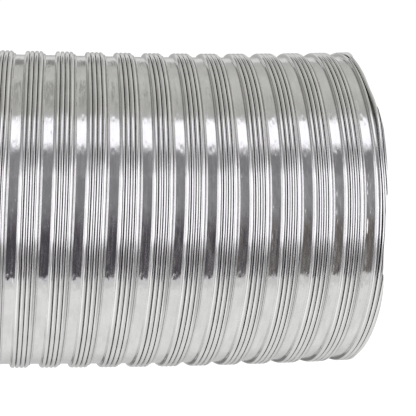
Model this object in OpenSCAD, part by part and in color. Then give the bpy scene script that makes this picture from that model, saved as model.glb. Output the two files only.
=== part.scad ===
// Semi-rigid flexible air duct, lying compressed along X, as it is sold.
// One strip of thin aluminium is folded into pleats and wound side by side with itself. A flat lock seam
// joins every turn to the next, and the pleats between two seams open when the duct is bent or drawn out.
// Each turn is drawn as a stiff seam ring and a soft pleat ring, which part at the grooves of the pleats.
// The origin is under the middle of the duct, on the surface that it lies on.

/* [Duct] */
// Clear bore, which slips over a 125 mm spigot
bore_d = 126; // [80:1:200]
// Turns of the strip
turns = 25; // [6:1:28]
// Depth to which the crests are pressed flat along the bottom, where the duct lies
rest_flat = 0.5; // [0.1:0.1:0.7]

/* [Lock seam] */
// Width of the flat seam band between two ribs
seam_w = 3.04; // [2:0.02:7]
// Thickness of the seam, where the strip's edges are folded into each other
seam_t = 0.6; // [0.4:0.05:1.2]

/* [Pleats] */
// Distance from one groove to the next
pleat_pitch = 1.86; // [1.5:0.02:3]
// Grooves in the rib of one turn
grooves = 4; // [3:1:7]
// Height of the crests over the seam band
rib_h = 1.65; // [1.2:0.05:2.4]
// Width of a groove
groove_w = 0.4; // [0.2:0.05:0.6]
// Thickness of the folded sheet at the bottom of a groove
fold_t = 0.4; // [0.25:0.05:0.6]
// Thickness of the sheet in a pleat's side walls
sheet_t = 0.3; // [0.2:0.05:0.4]
// Thickness of a crest
crest_t = 0.8; // [0.75:0.05:1]
// Radius to which the crests are bent round
crest_bend = 0.6; // [0.2:0.05:0.7]

/* [Rib flanks] */
// Width of the rib's first crest, from the seam band to the first groove
lead_w = 2; // [1.6:0.1:3]
// Slope width of the first crest's flank
lead_slope = 0.26; // [0.1:0.02:0.6]
// Place on the last pleat where its crest starts to slope down, from the groove before it
slope_start = 1; // [0.9:0.05:1.2]
// Height of the last, shallow groove's bottom over the seam band
crease_h = 0.56; // [0.4:0.02:0.7]
// Height of the low shoulder after the last groove, over the seam band
shoulder_h = 0.86; // [0.7:0.02:1]
// Width of the low shoulder, from the last groove to the seam band
tail_w = 1.46; // [1:0.02:2]

/* [Hidden] */
$fn = 120;
bore_r = bore_d / 2;
fold_r = bore_r + fold_t;
seam_r = bore_r + seam_t;
rib_r = seam_r + rib_h;
crease_r = seam_r + crease_h;
shoulder_r = seam_r + shoulder_h;
axis_z = rib_r - rest_flat;

// One turn runs from the middle of the last groove of a rib to that of the next rib
half_groove = groove_w / 2;
half_crease = groove_w / 5;
pleat_w = pleat_pitch - groove_w;
bend_r = min(crest_bend, 0.45 * pleat_w);
seam_start = tail_w;
seam_end = seam_start + seam_w;
seam_span = seam_end + lead_w;
pleats = grooves - 1;
pleat_span = pleats * pleat_pitch;
turn_pitch = seam_span + pleat_span;

// The last turn is cut off through the middle of its last pleat
cut_off = pleat_pitch / 2;
length = turns * turn_pitch - cut_off;

// The turns start on whole steps of this, so that the faces where two rings meet are written alike
grid = 0.001;
left_end = -round(length / 2 / grid) * grid;

seam_grey = [0.56, 0.57, 0.59];
pleat_silver = [0.82, 0.83, 0.84];
over = 1;

function numbered(name, i) = str(name, i < 10 ? "_0" : "_", i);
function turn_start(i) = left_end + (i - 1) * turn_pitch;

SEAM_RINGS = [for (i = [1:turns]) numbered("seam_ring", i)];
PLEAT_RINGS = [for (i = [1:turns]) numbered("pleat_ring", i)];

// A profile's points are [radius, distance along the duct]
// From the last groove of one rib, over its shoulder and the seam band, to the first groove of the next
module seam_profile() {
    lead_start = seam_end + lead_slope;
    lead_end = seam_span - half_groove;
    difference() {
        union() {
            polygon([
                [bore_r, 0],
                [crease_r, 0],
                [crease_r, half_crease],
                [shoulder_r, half_groove],
                [shoulder_r, groove_w],
                [seam_r, seam_start],
                [seam_r, seam_end],
                [rib_r - bend_r, lead_start],
                [rib_r - bend_r, lead_end],
                [fold_r, lead_end],
                [fold_r, seam_span],
                [bore_r, seam_span]
            ]);
            crest(lead_start, lead_end);
        }
        hollow(lead_start + sheet_t, lead_end - sheet_t);
    }
}

// One pleat, between the middles of two grooves
module pleat_profile(start) {
    wall_start = start + half_groove;
    wall_end = wall_start + pleat_w;
    difference() {
        union() {
            translate([bore_r, start])
                square([fold_t, pleat_pitch]);
            translate([bore_r, wall_start])
                square([rib_r - bend_r - bore_r, pleat_w]);
            crest(wall_start, wall_end);
        }
        hollow(wall_start + sheet_t, wall_end - sheet_t);
    }
}

// The last pleat of a rib, whose crest slopes down to the shallow groove before the shoulder
module last_pleat_profile(start) {
    wall_start = start + half_groove;
    bend_end = wall_start + bend_r;
    groove = start + pleat_pitch;
    difference() {
        union() {
            polygon([
                [bore_r, start],
                [fold_r, start],
                [fold_r, wall_start],
                [rib_r - bend_r, wall_start],
                [rib_r - bend_r, bend_end],
                [rib_r, bend_end],
                [rib_r, start + slope_start],
                [shoulder_r + half_groove, groove - half_groove],
                [crease_r, groove - half_crease],
                [crease_r, groove],
                [bore_r, groove]
            ]);
            bent(bend_end);
        }
        hollow(wall_start + sheet_t, start + slope_start);
    }
}

// The round top of a fold, bent over on both sides
module crest(start, end) {
    bent(start + bend_r);
    bent(end - bend_r);
    translate([rib_r - bend_r, start + bend_r])
        square([bend_r, end - start - 2 * bend_r]);
}

// The bend of a crest, about the given place along X
module bent(middle) {
    translate([rib_r - bend_r, middle])
        circle(r = bend_r);
}

// The inside of a fold, which is open to the bore
module hollow(start, end) {
    translate([bore_r - over, start])
        square([rib_r - crest_t - bore_r + over, end - start]);
}

// Turns a profile about the duct's axis, from the given place along X, and presses its underside flat
module ring(start) {
    difference() {
        translate([start, 0, axis_z])
            rotate([0, 90, 0])
                rotate_extrude() children();
        translate([start - over, -rib_r, -2 * over])
            cube([turn_pitch + 2 * over, 2 * rib_r, 2 * over]);
    }
}

module seam_ring(i) {
    color(seam_grey)
        ring(turn_start(i)) seam_profile();
}

module pleat_ring(i) {
    kept = i == turns ? pleat_span - cut_off : pleat_span;
    color(pleat_silver)
        ring(turn_start(i) + seam_span)
            intersection() {
                union() {
                    for (n = [0:pleats - 2]) pleat_profile(n * pleat_pitch);
                    last_pleat_profile((pleats - 1) * pleat_pitch);
                }
                square([rib_r + over, kept]);
            }
}

for (i = [1:turns]) seam_ring(i);
for (i = [1:turns]) pleat_ring(i);
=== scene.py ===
"""Flexible air duct: one strip of bright foil, wound left-handed, with folded pleats and a flat lock seam."""

import math

import bmesh
import bpy
import numpy as np
from mathutils import Matrix, Vector, kdtree


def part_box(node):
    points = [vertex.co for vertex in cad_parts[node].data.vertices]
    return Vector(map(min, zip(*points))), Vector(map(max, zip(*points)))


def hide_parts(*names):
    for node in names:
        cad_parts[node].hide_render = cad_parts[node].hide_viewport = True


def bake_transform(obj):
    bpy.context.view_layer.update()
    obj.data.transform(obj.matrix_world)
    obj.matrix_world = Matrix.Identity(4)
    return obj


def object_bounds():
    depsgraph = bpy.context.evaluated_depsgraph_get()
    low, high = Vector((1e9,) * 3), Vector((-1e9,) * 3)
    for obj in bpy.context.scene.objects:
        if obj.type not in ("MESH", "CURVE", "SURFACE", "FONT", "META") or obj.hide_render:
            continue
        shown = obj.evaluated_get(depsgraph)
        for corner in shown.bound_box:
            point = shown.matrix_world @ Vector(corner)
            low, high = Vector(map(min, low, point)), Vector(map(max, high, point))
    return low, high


bl_info = {
    "name": "Flexible Air Duct",
    "version": (1, 0, 0),
    "blender": (4, 5, 0),
    "location": "View3D > Sidebar > Air Duct",
    "description": "Winds a pleated foil duct on its packed frame",
    "category": "Add Mesh",
}

MM = 0.001
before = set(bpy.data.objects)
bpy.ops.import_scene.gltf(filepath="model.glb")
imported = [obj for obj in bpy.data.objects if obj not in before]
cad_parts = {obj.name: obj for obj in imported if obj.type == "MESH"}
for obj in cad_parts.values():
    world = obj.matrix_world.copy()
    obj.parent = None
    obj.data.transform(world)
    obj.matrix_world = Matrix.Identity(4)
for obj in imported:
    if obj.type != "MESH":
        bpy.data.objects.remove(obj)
CAD_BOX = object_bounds()

# The places that the packed rings give
SEAM_RINGS = sorted(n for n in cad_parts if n.startswith("seam_ring"))
PLEAT_RINGS = sorted(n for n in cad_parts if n.startswith("pleat_ring"))
TURNS = len(SEAM_RINGS)
STARTS = [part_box(n)[0].x for n in SEAM_RINGS]
PITCH = (STARTS[-1] - STARTS[0]) / (TURNS - 1)
SEAM_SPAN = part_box(PLEAT_RINGS[0])[0].x - STARTS[0]
PLEAT_SPAN = PITCH - SEAM_SPAN
RIB_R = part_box(SEAM_RINGS[0])[1].y
AXIS_Z = CAD_BOX[1].z - RIB_R
LEFT_END = CAD_BOX[0].x
MID_SEAM = SEAM_SPAN / 2
MID_PLEAT = SEAM_SPAN + PLEAT_SPAN / 2

# A rib's middle at the top of a turn, from the turn's start. A quarter turn on, at the front, the rib passes
# the groove that opens there
FIRST_RIB = SEAM_SPAN + PITCH / 4
# Length of one turn of the strip
AROUND = 2 * math.pi * RIB_R

# Distances that are too small to matter, and the least length by which a normal is divided
SAME_PLACE = 1e-6
CUT_THRESHOLD = 1e-7
WELD_DISTANCE = 2e-7
NO_LENGTH = 1e-18


def size(name, description, default, high=0.2):
    return bpy.props.FloatProperty(name=name, description=description, default=default, min=0.0, max=high,
                                   unit="LENGTH", precision=5)


def share(name, description, default, high=1.0):
    return bpy.props.FloatProperty(name=name, description=description, default=default, min=0.0, max=high,
                                   subtype="FACTOR")


def tint(name, description, default):
    return bpy.props.FloatVectorProperty(name=name, description=description, default=default, size=3,
                                         subtype="COLOR", min=0, max=1)


class DuctStrip(bpy.types.PropertyGroup):
    """Sizes of the folded strip"""
    bore: size("Bore radius", "Clear radius inside the folds", 63.0 * MM)
    seam: size("Seam thickness", "Height of the seam band over the bore", 0.6 * MM)
    crest: size("Crest height", "Height of the crests over the bore", 2.24 * MM)
    groove: size("Groove width", "Width of the grooves between the pleats", 0.2 * MM)
    fold: size("Groove bottom", "Height of a groove's bottom over the bore", 0.42 * MM)
    pleat: size("Pleat spacing", "Distance from one groove to the next", 1.86 * MM)
    first_groove: size("First groove", "Place of the first groove before the rib's middle", 2.14 * MM)
    foil: size("Foil thickness", "Thickness of the folded foil", 0.2 * MM)
    steps: bpy.props.IntProperty(name="Steps", description="Facets round one turn", default=320, min=64,
                                 max=720)


class DuctWear(bpy.types.PropertyGroup):
    """Creases and unevenness of the foil"""
    crinkle: size("Band crinkles", "Height of the creases on the seam bands", 0.012 * MM)
    ripple: size("Crest ripples", "Height of the ripples on the crests", 0.012 * MM)
    sag: size("Unevenness", "Slow change of the radius along the duct", 0.04 * MM)
    wander: size("Wandering", "Slow change of the ribs' places", 0.05 * MM)
    bow: size("Bow", "Sideways bow of each half of the duct, the right one forwards", 1.5 * MM)
    lean: share("Lean", "Slope by which the turns in the middle of the duct lean", 0.0115, high=0.1)
    rise_start: size("Rise start", "Place along the duct from which its cut end rises", 45 * MM)
    rise_radius: size("Rise radius", "Radius of the bend by which the cut end rises", 2.38, high=100.0)
    seed: bpy.props.IntProperty(name="Seed", description="Start of the random numbers", default=11)


class DuctFinish(bpy.types.PropertyGroup):
    """Colours and gloss"""
    foil: tint("Foil", "Bright side of the foil", (0.905, 0.905, 0.9))
    dull: tint("Dull foil", "Inside of the duct", (0.66, 0.66, 0.665))
    # painted shade: the darker colour that is painted into the bottom of the grooves and into the creases
    shade: tint("Groove tarnish", "Foil at the bottom of the grooves", (0.25, 0.25, 0.24))
    gloss: share("Band roughness", "Roughness of the smooth bands", 0.075)
    rib_gloss: share("Rib roughness", "Roughness of the folded ribs", 0.12)


class DuctStudio(bpy.types.PropertyGroup):
    """Camera and light"""
    lens: bpy.props.FloatProperty(name="Focal length", description="Of a 36 mm wide sensor", default=143.74,
                                  unit="CAMERA")
    turn: bpy.props.FloatProperty(name="Camera turn", description="Turn of the camera towards the cut end",
                                  default=math.radians(9.347), subtype="ANGLE")
    roll: bpy.props.FloatProperty(name="Camera roll", description="Roll of the camera",
                                  default=math.radians(-0.364), subtype="ANGLE")
    place: bpy.props.FloatVectorProperty(name="Camera place", description="Place of the camera",
                                         default=(-24.84 * MM, -689.29 * MM, 65.78 * MM),
                                         subtype="TRANSLATION", unit="LENGTH")


# ---------------------------------------------------------------- modelling helpers

def only(obj):
    """Selects obj alone."""
    if bpy.context.object and bpy.context.object.mode != "OBJECT":
        bpy.ops.object.mode_set(mode="OBJECT")
    bpy.ops.object.select_all(action="DESELECT")
    obj.select_set(True)
    bpy.context.view_layer.objects.active = obj


def apply_modifier(obj, name, kind, **settings):
    only(obj)
    m = obj.modifiers.new(name, kind)
    for k, v in settings.items():
        setattr(m, k, v)
    bpy.ops.object.modifier_apply(modifier=m.name)


def points(obj):
    """The places of a mesh's vertices."""
    co = np.zeros(len(obj.data.vertices) * 3)
    obj.data.vertices.foreach_get("co", co)
    return co.reshape(-1, 3)


def set_points(obj, co):
    obj.data.vertices.foreach_set("co", np.asarray(co, np.float32).ravel())
    obj.data.update()


def face_centres(obj):
    c = np.zeros(len(obj.data.polygons) * 3)
    obj.data.polygons.foreach_get("center", c)
    return c.reshape(-1, 3)


def drop_faces(obj, mask):
    """Deletes the faces of the mask, and the edges and vertices that only they use."""
    bm = bmesh.new()
    bm.from_mesh(obj.data)
    bm.faces.ensure_lookup_table()
    bmesh.ops.delete(bm, geom=[bm.faces[i] for i in np.flatnonzero(mask)], context="FACES")
    bm.to_mesh(obj.data)
    bm.free()


def copy_of(obj, name):
    """A copy with its own mesh."""
    new = obj.copy()
    new.data = obj.data.copy()
    new.name = new.data.name = name
    bpy.context.scene.collection.objects.link(new)
    return new


def discard(obj):
    mesh = obj.data
    bpy.data.objects.remove(obj)
    bpy.data.meshes.remove(mesh)


def bisect(obj, x, **clear):
    """Cuts a mesh square to the duct at x."""
    only(obj)
    bpy.ops.object.mode_set(mode="EDIT")
    bpy.ops.mesh.select_all(action="SELECT")
    bpy.ops.mesh.bisect(plane_co=(x, 0, AXIS_Z), plane_no=(1, 0, 0), threshold=CUT_THRESHOLD, **clear)
    bpy.ops.object.mode_set(mode="OBJECT")


def open_rims(bm):
    """The open edges of a mesh, one list for each rim, from left to right."""
    rims, seen = [], set()
    for edge in bm.edges:
        if edge.is_boundary and edge not in seen:
            rim, front = [], [edge]
            while front:
                e = front.pop()
                if e not in seen:
                    seen.add(e)
                    rim.append(e)
                    front += [g for v in e.verts for g in v.link_edges if g.is_boundary and g not in seen]
            rims.append(rim)
    return sorted(rims, key=lambda rim: sum(v.co.x for e in rim for v in e.verts) / len(rim))


def close_ends(obj):
    """Joins the outer and the inner skin along each open end, where the foil's edge shows."""
    bm = bmesh.new()
    bm.from_mesh(obj.data)
    rims = open_rims(bm)
    for one, other in zip(rims[::2], rims[1::2]):
        bmesh.ops.bridge_loops(bm, edges=one + other)
    bm.to_mesh(obj.data)
    bm.free()


def turned(co):
    """Angle of each point round the duct's axis, from the top towards the front, and its radius."""
    y, z = co[:, 1], co[:, 2] - AXIS_Z
    return np.arctan2(-y, z), np.hypot(y, z)


def smooth(x, low, high):
    """A smooth step from 0 at low to 1 at high."""
    t = np.clip((x - low) / (high - low), 0, 1)
    return t * t * (3 - 2 * t)


# ---------------------------------------------------------------- the foil's unevenness

# The foil's waves: what they add to the seed, their number, and their lengths along the duct and round it
CREASES = (0, 26, (1.6 * MM, 5 * MM), (4 * MM, 13 * MM))
RIPPLES = (2, 16, (4 * MM, 14 * MM), (6 * MM, 22 * MM))
SAGGING = (3, 8, (45 * MM, 150 * MM), (60 * MM, 160 * MM))
DRIFTING = (4, 10, (20 * MM, 60 * MM), (50 * MM, 140 * MM))
# Ripples and sag are lowered by this much of their height, so that they hardly reach outwards
LOWERED = 1.2
# Height over the seam band at which its creases have given way to the ribs' ripples
CREASES_END = 0.5 * MM
# The turns lean between the middle two of these places along the duct, and stand straight beyond the others
LEANING = (-130 * MM, -60 * MM, 24 * MM, 68 * MM)


def waves(co, seed, kind):
    """A sum of random waves at each point, the same each time and smooth over every piece."""
    added, count, across, along = kind
    rng = np.random.default_rng(seed + added)
    lengths = np.stack([rng.uniform(*span, count) for span in (across, along, along)], 1)
    signs = rng.choice([-1.0, 1.0], (count, 3))
    phases = rng.uniform(0, 2 * math.pi, count)
    total = np.zeros(len(co))
    for k, phase in zip(2 * math.pi * signs / lengths, phases):
        total += np.sin(co @ k + phase)
    return total / math.sqrt(count / 2)


def unevenness(co, wear, strip):
    """Moves points of the wound strip as thin foil does: creases on the bands, ripples on the crests."""
    angle, r = turned(co)
    seam_r = strip.bore + strip.seam
    on_band = 1 - smooth(r, seam_r, seam_r + CREASES_END)
    creases = waves(co, wear.seed, CREASES)
    ripples = waves(co, wear.seed, RIPPLES)
    sagging = waves(co, wear.seed, SAGGING)
    drift = waves(co, wear.seed, DRIFTING)
    up = on_band * wear.crinkle * creases + (1 - on_band) * wear.ripple * (ripples - LOWERED)
    up += wear.sag * np.minimum(sagging - LOWERED, 0)
    new = co.copy()
    new[:, 0] += wear.wander * drift
    new[:, 1] -= up * np.sin(angle)
    new[:, 2] += up * np.cos(angle)
    new[:, 2] = np.maximum(new[:, 2], 0)
    return laid_down(new, wear)


def springs(x, wear):
    """How far the duct's axis springs sideways and up at places along it, and its slopes there."""
    half = np.clip(x / -LEFT_END, -1, 1)
    sideways = -4 * wear.bow * half * (1 - np.abs(half))
    side_slope = -4 * wear.bow * (1 - 2 * np.abs(half)) / -LEFT_END
    straight, leaning, still_leaning, straight_again = LEANING
    side_slope -= wear.lean * smooth(x, straight_again, still_leaning) * smooth(x, straight, leaning)
    along = np.maximum(x - wear.rise_start, 0)
    up_slope = along / wear.rise_radius
    return sideways, up_slope * along / 2, side_slope, up_slope


def laid_down(co, wear):
    """Bows the duct a little to both sides and lifts its cut end, as it springs when it lies."""
    sideways, up, side_slope, up_slope = springs(co[:, 0], wear)
    new = co.copy()
    new[:, 0] -= co[:, 1] * side_slope + (co[:, 2] - AXIS_Z) * up_slope
    new[:, 1] += sideways
    new[:, 2] += up
    return new


class Facing:
    """Corners of a mesh's faces, to get its smooth normals for any places of its vertices."""

    def __init__(self, obj):
        mesh = obj.data
        total = np.zeros(len(mesh.polygons), np.int64)
        start = np.zeros(len(mesh.polygons), np.int64)
        corner = np.zeros(len(mesh.loops), np.int64)
        mesh.polygons.foreach_get("loop_total", total)
        mesh.polygons.foreach_get("loop_start", start)
        mesh.loops.foreach_get("vertex_index", corner)
        following = np.arange(len(corner)) + 1
        following[start + total - 1] = start
        self.corner, self.next = corner, corner[following]
        self.face = np.repeat(np.arange(len(total)), total)
        self.faces = len(total)
        self.points = len(mesh.vertices)

    def face_normals(self, co):
        c = co[self.corner]
        cross = np.cross(c - co[self.corner[0]], co[self.next] - co[self.corner[0]])
        return np.stack([np.bincount(self.face, cross[:, i], self.faces) for i in range(3)], 1)

    def normals(self, co):
        n = self.face_normals(co)[self.face]
        out = np.stack([np.bincount(self.corner, n[:, i], self.points) for i in range(3)], 1)
        return out / np.maximum(np.linalg.norm(out, axis=1), NO_LENGTH)[:, None]


# ---------------------------------------------------------------- finishes

# Marks by their place across the strip, from its rib's middle: from where to where they set in, and fade out
RIB_EDGE = (4.5 * MM, 4.1 * MM)
DENT_ROW = (4.7 * MM, 5.3 * MM)
# LAST_GROOVE and FLANK_FOOT: where shade is painted into the foil's colour
LAST_GROOVE = ((3.15 * MM, 3.36 * MM), (3.68 * MM, 3.5 * MM))
FLANK_FOOT = ((-4.4 * MM, -4.15 * MM), (-3.85 * MM, -4.05 * MM))
# Spacing of the roller's dents across the strip and along it, and the share of it that a dent's slope takes
DENT_SPACING = (4.2 * MM, 4.8 * MM)
DENT_SLOPE = (0.46, 0.04)
# Heights of the marks in mm
CREASE_HEIGHT = 0.03
RIB_CREASE_HEIGHT = 0.012
STREAK_HEIGHT = 0.05
SCRATCH_HEIGHT = 0.0015
DENT_DEPTH = 0.04
# Painted shade in the foot of the first flank against the last groove, and in both against the deep grooves
FOOT_PAINTED_SHADE = 0.4
CREASE_PAINTED_SHADE = 0.5
# How the marks show: a mark's low and high end, and the tone, metal or roughness that they give
GROOVE_EDGE = (0.1, 0.9)
CLOUD_TONE = (0.3, 0.7, 0.92, 1.03)
CLOUD_ROUGHNESS = (0.3, 0.75, 0.75, 1.5)
HAZE_METAL = (0.42, 0.72, 1.0, 0.93)
SCRATCH_ROUGHNESS = (0.45, 0.8, 0.0, 0.07)
# How much rougher the inside of the foil is, on the bands and on the ribs
INSIDE_BANDS, INSIDE_RIBS = 3, 2


def node(tree, kind, inputs=None, **settings):
    """A shader node with its settings and its inputs' values or links."""
    n = tree.nodes.new(kind)
    for k, v in settings.items():
        setattr(n, k, v)
    for k, v in (inputs or {}).items():
        if isinstance(v, bpy.types.NodeSocket):
            tree.links.new(v, n.inputs[k])
        else:
            n.inputs[k].default_value = v
    return n


def calc(tree, operation, *values):
    return node(tree, "ShaderNodeMath", dict(enumerate(values)), operation=operation).outputs[0]


def mapped(tree, value, low, high, to_low=0.0, to_high=1.0, kind="SMOOTHSTEP"):
    """The value brought from one range to another."""
    ends = {"Value": value, "From Min": low, "From Max": high, "To Min": to_low, "To Max": to_high}
    return node(tree, "ShaderNodeMapRange", ends, interpolation_type=kind).outputs["Result"]


def mixed(tree, weight, first, second, blend_type="MIX"):
    """A blend of two colours."""
    return node(tree, "ShaderNodeMix", {0: weight, 6: first, 7: second}, data_type="RGBA",
                blend_type=blend_type).outputs[2]


def strip_noise(tree, place, across, along, detail=2.0, roughness=0.55, distortion=0.0):
    """Noise on the unrolled strip, with spots of the given width and length."""
    scaled = node(tree, "ShaderNodeMapping", {"Vector": place, "Scale": (1 / across, 1 / along, 1.0)})
    return node(tree, "ShaderNodeTexNoise", {"Vector": scaled.outputs[0], "Scale": 1.0, "Detail": detail,
                                             "Roughness": roughness, "Distortion": distortion},
                noise_dimensions="2D").outputs["Fac"]


def rolled_foil_group():
    """Marks of the foil by their place on the unrolled strip, whose rib is in the middle of its width."""
    group = bpy.data.node_groups.new("rolled_foil", "ShaderNodeTree")
    face = group.interface
    face.new_socket("Place", in_out="INPUT", socket_type="NodeSocketVector")
    for name in ("Height", "Clouds", "Haze", "Scratches", "Rib", "CreaseShade"):
        face.new_socket(name, in_out="OUTPUT", socket_type="NodeSocketFloat")
    put, got = group.nodes.new("NodeGroupOutput"), group.nodes.new("NodeGroupInput")
    place = got.outputs["Place"]
    split = node(group, "ShaderNodeSeparateXYZ", {0: place})
    across = split.outputs[0]
    half = calc(group, "ABSOLUTE", across)
    rib = mapped(group, half, *RIB_EDGE)
    band = calc(group, "SUBTRACT", 1.0, rib)

    streaks = strip_noise(group, place, across=1.1 * MM, along=34 * MM)
    creases = strip_noise(group, place, across=1.7 * MM, along=3.6 * MM, detail=2.5, distortion=0.3)
    scratches = strip_noise(group, place, across=0.28 * MM, along=14 * MM, roughness=0.7)
    clouds = strip_noise(group, place, across=7 * MM, along=11 * MM, detail=4.0, roughness=0.62)
    veil = strip_noise(group, place, across=0.9 * MM, along=13 * MM, detail=1.5, roughness=0.5)
    haze = calc(group, "MULTIPLY", band, veil)

    # the roller that closes the seam leaves a row of shallow dents
    cell_scale = (1 / DENT_SPACING[0], 1 / DENT_SPACING[1], 1.0)
    cells = node(group, "ShaderNodeMapping", {"Vector": place, "Scale": cell_scale})
    near = node(group, "ShaderNodeTexVoronoi", {"Vector": cells.outputs[0], "Scale": 1.0, "Randomness": 0.8},
                voronoi_dimensions="2D", feature="SMOOTH_F1").outputs["Distance"]
    dents = calc(group, "MULTIPLY", mapped(group, near, *DENT_SLOPE), mapped(group, half, *DENT_ROW))

    on_band = calc(group, "MULTIPLY", creases, CREASE_HEIGHT)
    for value, height in ((streaks, STREAK_HEIGHT), (scratches, SCRATCH_HEIGHT)):
        on_band = calc(group, "ADD", on_band, calc(group, "MULTIPLY", value, height))
    on_band = calc(group, "SUBTRACT", on_band, calc(group, "MULTIPLY", dents, DENT_DEPTH))
    on_band = calc(group, "MULTIPLY", band, on_band)
    on_rib = calc(group, "MULTIPLY", rib, calc(group, "MULTIPLY", creases, RIB_CREASE_HEIGHT))

    # painted shade in the shallow last groove, and in the foot of the first flank
    last, foot = (calc(group, "MULTIPLY", mapped(group, across, *rise), mapped(group, across, *fall))
                  for rise, fall in (LAST_GROOVE, FLANK_FOOT))
    painted_crease_shade = calc(group, "MAXIMUM", last, calc(group, "MULTIPLY", foot, FOOT_PAINTED_SHADE))
    for name, value in (("Height", calc(group, "ADD", on_band, on_rib)), ("Clouds", clouds), ("Haze", haze),
                        ("Scratches", scratches), ("Rib", rib), ("CreaseShade", painted_crease_shade)):
        group.links.new(value, put.inputs[name])
    return group


def foil_material(name, color, marks, finish, painted_shade, gloss, rib_gloss):
    """Foil with its rolling marks, and shade painted into its colour in the creases and at the bottom of the
    grooves.
    """
    material = bpy.data.materials.new(name)
    material.use_nodes = True
    tree = material.node_tree
    tree.nodes.clear()
    out = node(tree, "ShaderNodeOutputMaterial")
    metal = node(tree, "ShaderNodeBsdfPrincipled")
    place = node(tree, "ShaderNodeUVMap", uv_map="strip").outputs["UV"]
    foil = node(tree, "ShaderNodeGroup", node_tree=marks)
    tree.links.new(place, foil.inputs["Place"])
    # painted shade: at the bottom of the grooves and in the creases the colour goes over to the shade colour
    groove = node(tree, "ShaderNodeAttribute", attribute_name="groove", attribute_type="GEOMETRY")
    in_groove = mapped(tree, groove.outputs["Fac"], *GROOVE_EDGE)
    crease_shade = calc(tree, "MULTIPLY", foil.outputs["CreaseShade"], CREASE_PAINTED_SHADE)
    deep = calc(tree, "MULTIPLY", calc(tree, "MAXIMUM", in_groove, crease_shade), painted_shade)
    base = mixed(tree, deep, (*color, 1), (*finish.shade, 1))
    cloudy = mapped(tree, foil.outputs["Clouds"], *CLOUD_TONE, "LINEAR")
    tree.links.new(mixed(tree, 1.0, base, cloudy, "MULTIPLY"), metal.inputs["Base Color"])
    tree.links.new(mapped(tree, foil.outputs["Haze"], *HAZE_METAL), metal.inputs["Metallic"])
    even = mapped(tree, foil.outputs["Rib"], 0.0, 1.0, gloss, rib_gloss, "LINEAR")
    worn = mapped(tree, foil.outputs["Clouds"], *CLOUD_ROUGHNESS, "LINEAR")
    drawn = mapped(tree, foil.outputs["Scratches"], *SCRATCH_ROUGHNESS, "LINEAR")
    tree.links.new(calc(tree, "ADD", calc(tree, "MULTIPLY", even, worn), drawn), metal.inputs["Roughness"])
    relief = {"Height": foil.outputs["Height"], "Strength": 1.0, "Distance": MM}
    tree.links.new(node(tree, "ShaderNodeBump", relief).outputs["Normal"], metal.inputs["Normal"])
    tree.links.new(metal.outputs["BSDF"], out.inputs["Surface"])
    return material


def foil_sides(finish):
    """The bright outside and the duller inside of the foil."""
    marks = rolled_foil_group()
    # only the bright outside gets the painted shade, the dull inside none
    return (foil_material("bright_foil", finish.foil, marks, finish, 1.0, finish.gloss, finish.rib_gloss),
            foil_material("dull_foil", finish.dull, marks, finish, 0.0, INSIDE_BANDS * finish.gloss,
                          INSIDE_RIBS * finish.rib_gloss))


# ---------------------------------------------------------------- the folded strip

DEEP_GROOVES = 3
# How much wider the first groove is than the others
FIRST_WIDER = 1.7
# Roundings in mm: of the crests' shoulders outside and inside, and at the bottom of the grooves
CREST_BEND, INNER_BEND, GROOVE_BEND = 0.68, 0.3, 0.06
# Heights of the inner side over the bore in mm: under the deep grooves, and under the last one and shoulder
UNDER_GROOVE, UNDER_SHOULDER = 0.06, 0.72
# Facets of a rounded corner, where the rounding in mm is small, middling and large
SMALL_BEND, LARGE_BEND = 0.1, 0.3
FACETS = {"outer": (1, 2, 5), "inner": (1, 1, 1)}
# Times that the strip is wound round, so that whole turns with both neighbours are in the middle
WINDINGS = 4


def outline(strip):
    """Corners of the foil's outer and inner side over one turn, from seam to seam, in mm: place across from
    the rib's middle, height over the bore, and rounding."""
    seam, crest, fold, foil = strip.seam / MM, strip.crest / MM, strip.fold / MM, strip.foil / MM
    half, gap, pleat = PITCH / MM / 2, strip.groove / MM / 2, strip.pleat / MM
    first = -strip.first_groove / MM
    grooves = [first + pleat * n for n in range(DEEP_GROOVES)]
    wide = FIRST_WIDER * gap
    under = crest - foil

    # the seam band and the wide first crest
    outer = [(-half, seam, 0), (-half + 0.6, seam, 0), (-half + 1.2, seam, 0), (first - 2.02, seam, 0.12),
             (first - 1.7, crest - 0.4, 0.3), (first - 1.1, crest, 0.45), (first - wide, crest - 0.05, 0.4)]
    inner = [(-half, 0, 0), (first - 1.85, 0, 0), (first - 1.5, under - 0.5, 0), (first - 1.0, under, 0),
             (first - wide - foil, under - 0.05, 0)]
    # the grooves, and the round crests between them
    for n, g in enumerate(grooves):
        side = wide if n == 0 else gap
        outer += [(g - side, fold, GROOVE_BEND), (g + side, fold, GROOVE_BEND), (g + side, crest, CREST_BEND)]
        inner += [(g - side - foil, UNDER_GROOVE, 0), (g + side + foil, UNDER_GROOVE, 0),
                  (g + side + foil, under, INNER_BEND)]
        if n < DEEP_GROOVES - 1:
            outer += [(grooves[n + 1] - gap, crest, CREST_BEND)]
            inner += [(grooves[n + 1] - gap - foil, under, INNER_BEND)]
    # the last crest slopes down to a shallow groove and a low shoulder
    last = grooves[-1]
    outer += [(last + 1.05, crest - 0.03, 0.45), (last + 1.62, crest - 0.66, 0.16),
              (last + 1.8, seam + 0.48, 0.05), (last + 1.94, seam + 0.48, 0.05),
              (last + 2.08, seam + 0.74, 0.12), (last + 2.34, seam + 0.64, 0.16),
              (last + 2.7, seam, 0.15), (half - 0.6, seam, 0), (half, seam, 0)]
    inner += [(last + 1.0, under - 0.05, 0), (last + 1.5, seam + 0.5, 0), (last + 1.75, UNDER_SHOULDER, 0),
              (last + 2.2, UNDER_SHOULDER, 0), (last + 2.6, 0, 0), (half, 0, 0)]
    return outer, inner


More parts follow.
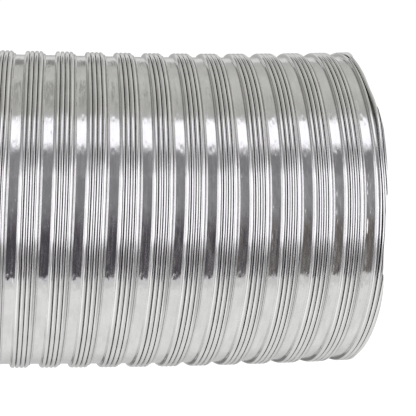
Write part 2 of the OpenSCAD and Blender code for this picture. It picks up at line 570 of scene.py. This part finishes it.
def draw_line(name, corners, strip):
    """Draws one side of the strip from a single point, extruded corner by corner, and rounds its corners."""
    few, some, many = FACETS[name]
    bpy.ops.object.select_all(action="DESELECT")
    bpy.ops.mesh.primitive_plane_add(size=MM)
    obj = bpy.context.object
    obj.name = name
    bpy.ops.object.mode_set(mode="EDIT")
    bpy.ops.mesh.select_all(action="SELECT")
    bpy.ops.mesh.merge(type="CENTER")
    bpy.ops.transform.translate(value=(corners[0][0] * MM, 0, strip.bore + corners[0][1] * MM))
    for a, b in zip(corners, corners[1:]):
        bpy.ops.mesh.extrude_region_move(
            TRANSFORM_OT_translate={"value": ((b[0] - a[0]) * MM, 0, (b[1] - a[1]) * MM)})
    for radius in sorted({c[2] for c in corners if c[2]}):
        bpy.ops.mesh.select_mode(type="VERT")
        bpy.ops.mesh.select_all(action="DESELECT")
        bm = bmesh.from_edit_mesh(obj.data)
        for v in bm.verts:
            v.select = any(c[2] == radius and abs(v.co.x - c[0] * MM) < SAME_PLACE
                           and abs(v.co.z - strip.bore - c[1] * MM) < SAME_PLACE for c in corners)
        bm.select_flush_mode()
        bmesh.update_edit_mesh(obj.data)
        facets = few if radius < SMALL_BEND else some if radius < LARGE_BEND else many
        bpy.ops.mesh.bevel(affect="VERTICES", offset=radius * MM, segments=facets)
    bpy.ops.object.mode_set(mode="OBJECT")
    return obj


def wind(strip, sides):
    """Winds the strip a few times round and joins its edges: a whole turn of the duct with its neighbours."""
    skins = []
    for name, corners, foil in zip(("outer", "inner"), outline(strip), sides):
        skin = draw_line(name, corners, strip)
        skin.data.materials.append(foil)
        apply_modifier(skin, "Wind", "SCREW", axis="X", angle=2 * math.pi, screw_offset=-PITCH,
                       steps=strip.steps, render_steps=strip.steps, iterations=WINDINGS)
        apply_modifier(skin, "Join", "WELD", merge_threshold=WELD_DISTANCE)
        co = points(skin) + (FIRST_RIB + WINDINGS / 2 * PITCH, 0, AXIS_Z)
        set_points(skin, co)
        only(skin)
        bpy.ops.object.mode_set(mode="EDIT")
        bpy.ops.mesh.select_all(action="SELECT")
        bpy.ops.mesh.normals_make_consistent(inside=False)
        bpy.ops.object.mode_set(mode="OBJECT")
        n, c = Facing(skin).face_normals(co), face_centres(skin)
        outward = (n[:, 1] * c[:, 1] + n[:, 2] * (c[:, 2] - AXIS_Z)).sum() > 0
        if outward != (name == "outer"):
            skin.data.flip_normals()
        skins.append(skin)
    only(skins[0])
    skins[1].select_set(True)
    bpy.ops.object.join()
    return skins[0]


def unroll(obj):
    """Gives each corner of the wound mesh its place on the unrolled strip: across it, and along it."""
    facing = Facing(obj)
    co, centre = points(obj), face_centres(obj)
    own = np.degrees(turned(centre)[0]) / 360 % 1
    turn = np.degrees(turned(co)[0])[facing.corner] / 360
    turn -= np.round(turn - own[facing.face])
    rib = np.round((centre[:, 0] - FIRST_RIB) / PITCH + own)[facing.face]
    across = co[facing.corner, 0] - FIRST_RIB - PITCH * (rib - turn)
    layer = obj.data.uv_layers.new(name="strip")
    layer.data.foreach_set("uv", np.stack([across, (turn - rib) * AROUND], 1).astype(np.float32).ravel())


def further_along(obj, turns):
    """Moves a mesh's places on the strip by whole turns."""
    layer = obj.data.uv_layers["strip"]
    uv = np.zeros(len(layer.data) * 2, np.float32)
    layer.data.foreach_get("uv", uv)
    uv[1::2] -= turns * AROUND
    layer.data.foreach_set("uv", uv)


def section(tube, name, low, high, cuts, strip):
    """A stretch of the wound tube, from low to high, with edges where its pieces meet."""
    turn = copy_of(tube, name)
    bisect(turn, low, clear_inner=True)
    bisect(turn, high, clear_outer=True)
    for x in cuts:
        bisect(turn, x)
    unroll(turn)
    r = turned(points(turn))[1]
    outer = np.zeros(len(r), bool)
    for p in turn.data.polygons:
        if p.material_index == 0:
            outer[list(p.vertices)] = True
    # the bottom of the outer skin's grooves, where shade is painted into the foil's colour
    bottom = strip.bore + 0.5 * (strip.seam + strip.fold)
    groove = turn.data.attributes.new("groove", "FLOAT", "POINT")
    groove.data.foreach_set("value", (outer & (r < bottom)).astype(np.float32))
    return turn


def cell(turn, low, high, name):
    """The part of the wound turn between two places, closed along both rims."""
    part = copy_of(turn, name)
    x = face_centres(part)[:, 0]
    drop_faces(part, (x < low) | (x > high))
    close_ends(part)
    part.data.polygons.foreach_set("use_smooth", [True] * len(part.data.polygons))
    return part


def same_points(part, whole):
    """For each point of part, the number of the point of whole at the same place."""
    co = points(whole)
    tree = kdtree.KDTree(len(co))
    for i, p in enumerate(co):
        tree.insert(p, i)
    tree.balance()
    return np.array([tree.find(p)[1] for p in points(part)])


def lay(part, turn, facing, match, name, number, wear, strip):
    """A copy of part in its own turn, with its own creases. Its normals run on into its neighbours."""
    piece = copy_of(part, name)
    further_along(piece, number)
    whole = points(turn)
    whole[:, 0] += STARTS[number]
    whole = unevenness(whole, wear, strip)
    set_points(piece, whole[match])
    piece.data.normals_split_custom_set_from_vertices(facing.normals(whole)[match].tolist())
    return piece


# ---------------------------------------------------------------- the cut ends

# The cut edges: angle from the top towards the front, and distance short of the full length in mm
RIGHT_EDGE = ((0, 1.0), (8, 1.2), (15, 2.2), (23, 3.2), (29, 3.6), (37, 3.5), (42, 4.1), (46, 3.6),
              (50, 2.9), (57, 2.7), (64, 2.6), (71, 3.2), (81, 3.7), (87, 4.2), (91, 5.4), (100, 5.7),
              (107, 6.1), (112, 5.6), (120, 4.7), (130, 4.8), (140, 5.0), (150, 5.6), (160, 6.6),
              (170, 6.0), (182, 4.6), (210, 2.9), (238, 3.2), (262, 2.4), (285, 1.9), (304, 2.4),
              (325, 1.2), (345, 0.7))
LEFT_EDGE = ((0, 0.9), (25, 0.4), (60, 1.2), (88, 0.7), (118, 1.5), (150, 0.8), (190, 1.4), (230, 0.6),
             (255, 1.1), (290, 0.4), (330, 1.0))
# Angles to both sides over which their corners are rounded
EDGE_ROUNDING = (-3, -1, 1, 3)

# Where the cut has bent the last rib, across the strip from the rib's middle: all from its first crest on,
# and all from its first groove on
FROM_CREST = (-3.7 * MM, -2.6 * MM)
FROM_GROOVE = (-2.21 * MM, -2.07 * MM)
# How far in mm each of them is moved out, and between which angles from the top towards the front
CREST_MOVES = ((0.5, 52, 140), (-0.6, -50, 60), (-0.5, 1, 25))
GROOVE_MOVES = ((1.1, 1, 25), (0.85, 38, 76))
# Distance from the middle of the last seam over which the bending sets in
BENDING_SETS_IN = 1.2 * MM


def edge_line(corners, angle):
    """The cut edge's place at an angle, through its corners, which are a little rounded."""
    degrees = np.degrees(angle) % 360
    at = [c[0] + turn for turn in (-360, 0, 360) for c in corners]
    value = [c[1] * MM for c in corners] * 3
    return sum(np.interp(degrees + s, at, value) for s in EDGE_ROUNDING) / len(EDGE_ROUNDING)


def bump(angle, low, high):
    """Rises from 0 at low to 1 halfway and falls to 0 at high, in degrees from the top towards the front."""
    t = np.clip((np.degrees(angle) - low) / (high - low), 0, 1)
    return np.sin(math.pi * t) ** 2


def spread_end(co):
    """Loosens the last rib, where the cut has bent the foil: its first groove opens on top and in front."""
    angle = turned(co)[0]
    across = co[:, 0] - STARTS[-1] - FIRST_RIB + PITCH * (np.degrees(angle) % 360) / 360
    loose = smooth(co[:, 0] - STARTS[-1], MID_SEAM, MID_SEAM + BENDING_SETS_IN)
    for place, moves in ((FROM_CREST, CREST_MOVES), (FROM_GROOVE, GROOVE_MOVES)):
        bent = sum(far * bump(angle, low, high) for far, low, high in moves)
        co[:, 0] += loose * smooth(across, *place) * MM * bent
    return co


def cut_piece(turn, name, number, low, high, edge, side, wear, strip, shape=None):
    """A piece that ends in the duct's cut edge instead of its neighbour."""
    piece = copy_of(turn, name)
    further_along(piece, number)
    co = points(piece)
    co[:, 0] += STARTS[number]
    if shape:
        co = shape(co)
    co[:, 0] += side * edge_line(edge, turned(co)[0])
    set_points(piece, co)
    bisect(piece, -side * LEFT_END, **({"clear_outer": True} if side > 0 else {"clear_inner": True}))
    co = points(piece)
    co[:, 0] -= side * edge_line(edge, turned(co)[0])
    set_points(piece, co)
    normals = Facing(piece).normals(unevenness(co, wear, strip))
    store = piece.data.attributes.new("kept_normal", "FLOAT_VECTOR", "POINT")
    store.data.foreach_set("vector", normals.ravel().astype(np.float32))
    x = face_centres(piece)[:, 0]
    drop_faces(piece, (x < low) | (x > high))
    skins = len(piece.data.polygons)
    close_ends(piece)
    co = unevenness(points(piece), wear, strip)
    set_points(piece, co)
    kept = np.zeros(len(co) * 3)
    store = piece.data.attributes["kept_normal"]
    store.data.foreach_get("vector", kept)
    piece.data.attributes.remove(store)
    piece.data.polygons.foreach_set("use_smooth", [True] * len(piece.data.polygons))
    facing = Facing(piece)
    corner_normals = kept.reshape(-1, 3)[facing.corner]
    flat = facing.face_normals(co)
    flat /= np.maximum(np.linalg.norm(flat, axis=1), NO_LENGTH)[:, None]
    rim = facing.face >= skins
    corner_normals[rim] = flat[facing.face[rim]]
    piece.data.normals_split_custom_set(corner_normals.tolist())
    return piece


# How far a turn is cut out beyond its pieces, so that their normals run on into their neighbours
BEYOND = 0.8 * MM


class DUCT_OT_wind(bpy.types.Operator):
    """Folds the strip, winds it and lays the turns of the duct side by side"""
    bl_idname = "duct.wind"
    bl_label = "Wound strip"

    def execute(self, context):
        scene = context.scene
        strip, wear = scene.duct_strip, scene.duct_wear
        tube = wind(strip, foil_sides(scene.duct_finish))
        turn = section(tube, "wound_turn", MID_SEAM - BEYOND, MID_SEAM + PITCH + BEYOND,
                       (MID_SEAM, MID_PLEAT, MID_SEAM + PITCH), strip)
        outermost = section(tube, "end_turn", -2 * BEYOND, PITCH + 2 * BEYOND, (MID_SEAM, MID_PLEAT), strip)
        discard(tube)
        facing = Facing(turn)
        front = cell(turn, MID_SEAM, MID_PLEAT, "front_cell")
        back = cell(turn, MID_PLEAT, MID_SEAM + PITCH, "back_cell")
        to_front, to_back = same_points(front, turn), same_points(back, turn)
        last = TURNS - 1
        for i, start in enumerate(STARTS):
            name = f"pleats_front_{i + 1:02d}"
            if i == 0:
                piece = cut_piece(outermost, name, i, LEFT_END - MM, start + MID_PLEAT, LEFT_EDGE, -1,
                                  wear, strip)
            elif i == last:
                piece = cut_piece(outermost, name, i, start + MID_SEAM, -LEFT_END + MM, RIGHT_EDGE, 1,
                                  wear, strip, spread_end)
            else:
                piece = lay(front, turn, facing, to_front, name, i, wear, strip)
            self.hinge(piece, SEAM_RINGS[i], PLEAT_RINGS[i], start + SEAM_SPAN, wear)
            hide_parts(SEAM_RINGS[i], *(PLEAT_RINGS[i:] if i == last else ()))
        for i in range(1, TURNS):
            piece = lay(back, turn, facing, to_back, f"pleats_back_{i + 1:02d}", i - 1, wear, strip)
            self.hinge(piece, PLEAT_RINGS[i - 1], SEAM_RINGS[i], STARTS[i], wear)
            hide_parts(PLEAT_RINGS[i - 1])
        for spare in (front, back, turn, outermost):
            discard(spare)
        return {"FINISHED"}

    def hinge(self, piece, left, right, x, wear):
        """Bakes the piece's place into its mesh, after working out how the duct springs at x."""
        sideways, up, side_slope, up_slope = springs(x, wear)
        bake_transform(piece)


# ---------------------------------------------------------------- the studio

TABLE_SIDE = 6.0
# The table lies a little below the duct, so that the two share no face
TABLE_GAP = 0.05 * MM
SENSOR_WIDTH = 36
CLIPPING = (0.01, 50)

# Places in the room by their angle over the duct in degrees: 0 in front, 90 overhead, -90 below
TABLE_EDGE, FRONT_TOP, FRONT_RIM = -50.3, 24.0, 42.0
SOFT_BOX = (46.5, 69.5)
# Brightness of the white walls, of the soft box, and of the room that the camera itself sees
WALLS, SOFT_BOX_LIGHT, BACKDROP = 1.3, 1.15, 1.05
# Tints of the room, where it is plain, warm overhead and cool in front, and of the dark front
PLAIN, WARM, COOL = (1, 1, 0.995, 1), (1.0, 0.995, 0.955, 1), (1.0, 0.985, 1.03, 1)
VIOLET, BROWN = (1.05, 0.95, 1.12, 1), (1.07, 0.99, 0.93, 1)


def table_material():
    """Pale table top."""
    material = bpy.data.materials.new("pale_table")
    material.use_nodes = True
    tree = material.node_tree
    tree.nodes.clear()
    out = node(tree, "ShaderNodeOutputMaterial")
    pale = node(tree, "ShaderNodeEmission", {"Color": (1, 1, 1, 1), "Strength": 1.0})
    matt = node(tree, "ShaderNodeBsdfDiffuse", {"Color": (0.3, 0.3, 0.3, 1)})
    both = node(tree, "ShaderNodeAddShader", {0: pale.outputs[0], 1: matt.outputs[0]})
    tree.links.new(both.outputs[0], out.inputs["Surface"])
    return material


def studio_world():
    """A white room to look at. The foil reflects a long soft box overhead, white walls and a dark front."""
    world = bpy.data.worlds.new("studio")
    bpy.context.scene.world = world
    world.use_nodes = True
    tree = world.node_tree
    tree.nodes.clear()
    out = node(tree, "ShaderNodeOutputWorld")
    way = node(tree, "ShaderNodeSeparateXYZ", {0: node(tree, "ShaderNodeTexCoord").outputs["Generated"]})
    x, y, z = way.outputs

    over = calc(tree, "DEGREES", calc(tree, "ARCTAN2", z, calc(tree, "MULTIPLY", y, -1.0)))

    def ramp(value, *ends):
        return mapped(tree, value, *ends)

    def window(value, low, high, edge):
        rise, fall = ramp(value, low - edge, low + edge), ramp(value, high + edge, high - edge)
        return calc(tree, "MULTIPLY", rise, fall)

    ahead, overhead = window(x, -0.22, 0.45, 0.07), window(over, 72.0, 140.0, 4.0)
    left, right = ramp(x, -0.12, -0.25), ramp(x, 0.36, 0.5)
    front, behind = ramp(y, 0.35, 0.05), ramp(y, 0.6, 0.75)
    darkness = calc(tree, "ADD", ramp(over, -22.0, 8.0, 0.064, 0.215),
                    ramp(x, 0.13, 0.28, 0.0, 0.06, "LINEAR"))

    # the brightness of each zone and where it lies, every one painted over those before it
    zones = (
        # from overhead to low behind
        (0.495, ramp(over, 110.0, 122.0)),
        (0.34, window(x, -0.01, 0.09, 0.03), window(over, 80.0, 108.0, 4.0)),
        (ramp(x, 0.05, 0.14, 0.24, 0.46), ramp(over, 128.0, 137.0)),
        (0.70, ramp(over, 143.0, 149.0)),
        (0.48, ramp(over, 155.0, 163.0)),
        # overhead it is darker to the left and lighter to the right
        (0.24, ramp(x, -0.12, -0.35), overhead),
        (0.66, ramp(x, 0.3, 0.5), overhead),
        # the front round the soft box, the table below, and a darker strip at its edge
        (0.38, front, window(over, 20.0, 71.0, 4.0)),
        (ramp(over, -155.0, -120.0, 0.56, 0.75), ramp(over, 12.0, 2.0)),
        (0.62, window(over, -59.0, -45.0, 3.0), ahead),
        # behind the duct it is dark to the lower left
        (0.22, ramp(x, -0.12, -0.22), behind, window(z, -0.5, -0.165, 0.02)),
        (0.15, ramp(x, -0.46, -0.58), behind, window(z, -0.5, -0.03, 0.02)),
        # white walls at the sides, with darker feet
        (WALLS, left, front, window(z, -0.37, 0.43, 0.08)),
        (0.4, left, front, window(z, -0.6, -0.37, 0.05)),
        (0.98, left, front, ramp(z, -0.55, -0.65)),
        (WALLS, right, front, window(z, -0.33, 0.43, 0.08)),
        (0.25, right, front, window(z, -0.62, -0.35, 0.06)),
        (0.48, right, front, ramp(z, -0.57, -0.67)),
        # the dark front, darker downwards as far as the table's edge, and its upper rim
        (darkness, ahead, window(over, TABLE_EDGE, FRONT_TOP, 1.2)),
        (ramp(x, 0.05, 0.17, 0.24, 0.205), ahead, window(over, FRONT_TOP, FRONT_RIM, 3.0)),
        (SOFT_BOX_LIGHT, window(x, -0.14, 0.44, 0.06), window(over, *SOFT_BOX, 4.5)),
    )
    light = ramp(over, 78.0, 105.0, 0.44, 0.54, "LINEAR")
    for brightness, mask, *more in zones:
        for m in more:
            mask = calc(tree, "MULTIPLY", mask, m)
        light = calc(tree, "ADD", calc(tree, "MULTIPLY", light, calc(tree, "SUBTRACT", 1.0, mask)),
                     calc(tree, "MULTIPLY", brightness, mask))

    hue = mixed(tree, window(over, 75.0, 140.0, 4.0), PLAIN, WARM)
    hue = mixed(tree, window(over, -50.0, 70.0, 4.0), hue, COOL)
    # the dark front is a little violet, and brown to the right
    shadow = mixed(tree, ramp(x, 0.15, 0.3), VIOLET, BROWN)
    hue = mixed(tree, calc(tree, "MULTIPLY", ahead, window(over, TABLE_EDGE, -8.0, 5.0)), hue, shadow)
    room = node(tree, "ShaderNodeBackground", {"Color": hue, "Strength": light})
    white = node(tree, "ShaderNodeBackground", {"Color": (1, 1, 1, 1), "Strength": BACKDROP})
    camera = node(tree, "ShaderNodeLightPath").outputs["Is Camera Ray"]
    mix = node(tree, "ShaderNodeMixShader", {0: camera, 1: room.outputs[0], 2: white.outputs[0]})
    tree.links.new(mix.outputs[0], out.inputs["Surface"])


class DUCT_OT_studio(bpy.types.Operator):
    """Sets up the table, the room's light and the camera"""
    bl_idname = "duct.studio"
    bl_label = "Studio"

    def execute(self, context):
        bpy.ops.object.select_all(action="DESELECT")
        bpy.ops.mesh.primitive_grid_add(x_subdivisions=8, y_subdivisions=8, size=TABLE_SIDE,
                                        location=(0, 0, -TABLE_GAP))
        table = context.object
        table.name = "table_top"
        table.data.materials.append(table_material())
        table.visible_glossy = False
        studio_world()
        studio = context.scene.duct_studio
        camera = bpy.data.objects.new("camera", bpy.data.cameras.new("camera"))
        context.scene.collection.objects.link(camera)
        camera.data.lens = studio.lens
        camera.data.sensor_width = SENSOR_WIDTH
        camera.data.sensor_fit = "HORIZONTAL"
        camera.data.clip_start, camera.data.clip_end = CLIPPING
        camera.location = studio.place
        turn = (Matrix.Rotation(-studio.turn, 3, "Z") @ Matrix.Rotation(math.pi / 2, 3, "X")
                @ Matrix.Rotation(-studio.roll, 3, "Z"))
        camera.rotation_euler = turn.to_euler()
        context.scene.camera = camera
        context.scene.view_settings.view_transform = "Standard"
        return {"FINISHED"}


# ---------------------------------------------------------------- the add-on

STEPS = (DUCT_OT_wind, DUCT_OT_studio)
SETTINGS = {"duct_strip": DuctStrip, "duct_wear": DuctWear, "duct_finish": DuctFinish,
            "duct_studio": DuctStudio}


class DUCT_PT_panel(bpy.types.Panel):
    """Sizes, wear, colours and steps of the air duct"""
    bl_idname = "DUCT_PT_panel"
    bl_label = "Flexible Air Duct"
    bl_space_type = "VIEW_3D"
    bl_region_type = "UI"
    bl_category = "Air Duct"

    def draw(self, context):
        for name, group in SETTINGS.items():
            box = self.layout.box()
            box.label(text=group.__doc__)
            for setting in group.__annotations__:
                box.prop(getattr(context.scene, name), setting)
        for step in STEPS:
            self.layout.operator(step.bl_idname)


CLASSES = (*SETTINGS.values(), *STEPS, DUCT_PT_panel)


def register():
    for c in CLASSES:
        bpy.utils.register_class(c)
    for name, group in SETTINGS.items():
        setattr(bpy.types.Scene, name, bpy.props.PointerProperty(type=group))


def unregister():
    for name in SETTINGS:
        delattr(bpy.types.Scene, name)
    for c in reversed(CLASSES):
        bpy.utils.unregister_class(c)


def main():
    register()
    bpy.ops.duct.wind()
    bpy.ops.duct.studio()


if __name__ == "__main__":
    main()
